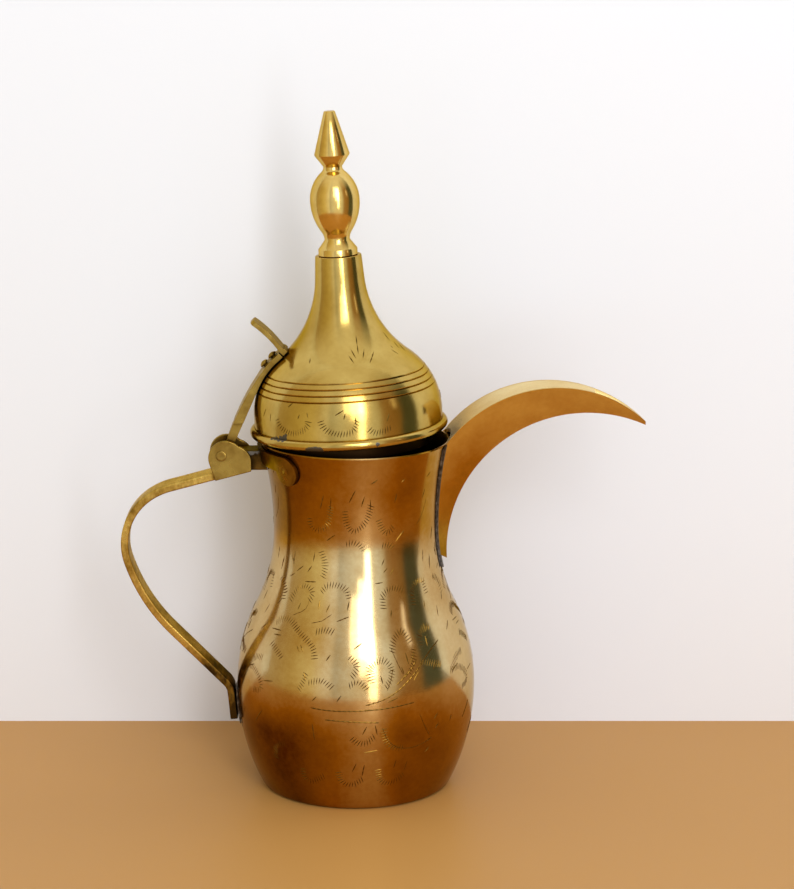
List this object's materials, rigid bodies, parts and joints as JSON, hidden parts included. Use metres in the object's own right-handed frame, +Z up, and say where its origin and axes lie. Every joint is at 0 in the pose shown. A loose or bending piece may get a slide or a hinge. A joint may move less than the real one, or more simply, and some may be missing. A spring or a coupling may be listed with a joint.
{
  "type": "coffee pot",
  "caption": "Brass dallah coffee pot with a waisted body, crescent spout, hinged domed lid with a tall finial and thumb lever, and a riveted and soldered strap handle.",
  "frame": {"origin": "centre of the base disc on the table plane", "axes": "+Z up along the body's turning axis, +X towards the spout, -X towards the hinge and handle"},
  "size_m": [0.2229, 0.1024, 0.2899],
  "materials": {
    "body_brass": "aged, hand-polished spun brass sheet with chased leaf pattern and brown patina",
    "spout_brass": "satin brass sheet with orange-brown patina",
    "hardware_brass": "dull hand-filed brass, olive with age",
    "lid_brass": "lathe-polished brass, yellower than the body",
    "solder": "dull grey tin solder"
  },
  "bodies": {
    "pot": {"body_shell": "body_brass", "base_disc": "body_brass", "base_solder_ring": "solder", "spout_near_wall": "spout_brass", "spout_far_wall": "spout_brass", "spout_top_plate": "spout_brass", "spout_solder_seam": "solder", "hinge_bracket": "hardware_brass", "bracket_rivets": "hardware_brass", "bracket_rivet_roves": "hardware_brass", "hinge_cheek_near": "hardware_brass", "hinge_cheek_far": "hardware_brass", "hinge_pin": "hardware_brass", "handle_strap": "hardware_brass", "handle_foot_solder": "solder"},
    "lid": {"lid_dome": "lid_brass", "lid_rim_bead": "lid_brass", "lid_collar": "lid_brass", "lid_arm": "hardware_brass", "thumb_lever": "hardware_brass", "arm_rivets": "hardware_brass", "arm_rivet_roves": "hardware_brass", "finial": "lid_brass", "finial_washer": "hardware_brass", "finial_nut": "hardware_brass"}
  },
  "joints": [
    {"name": "lid_hinge", "type": "hinge", "parent": "pot", "child": "lid", "pos_m": [-0.0564, 0, 0.1455], "axis": [0, -1, 0], "range_deg": [-3.3, 100]}
  ]
}
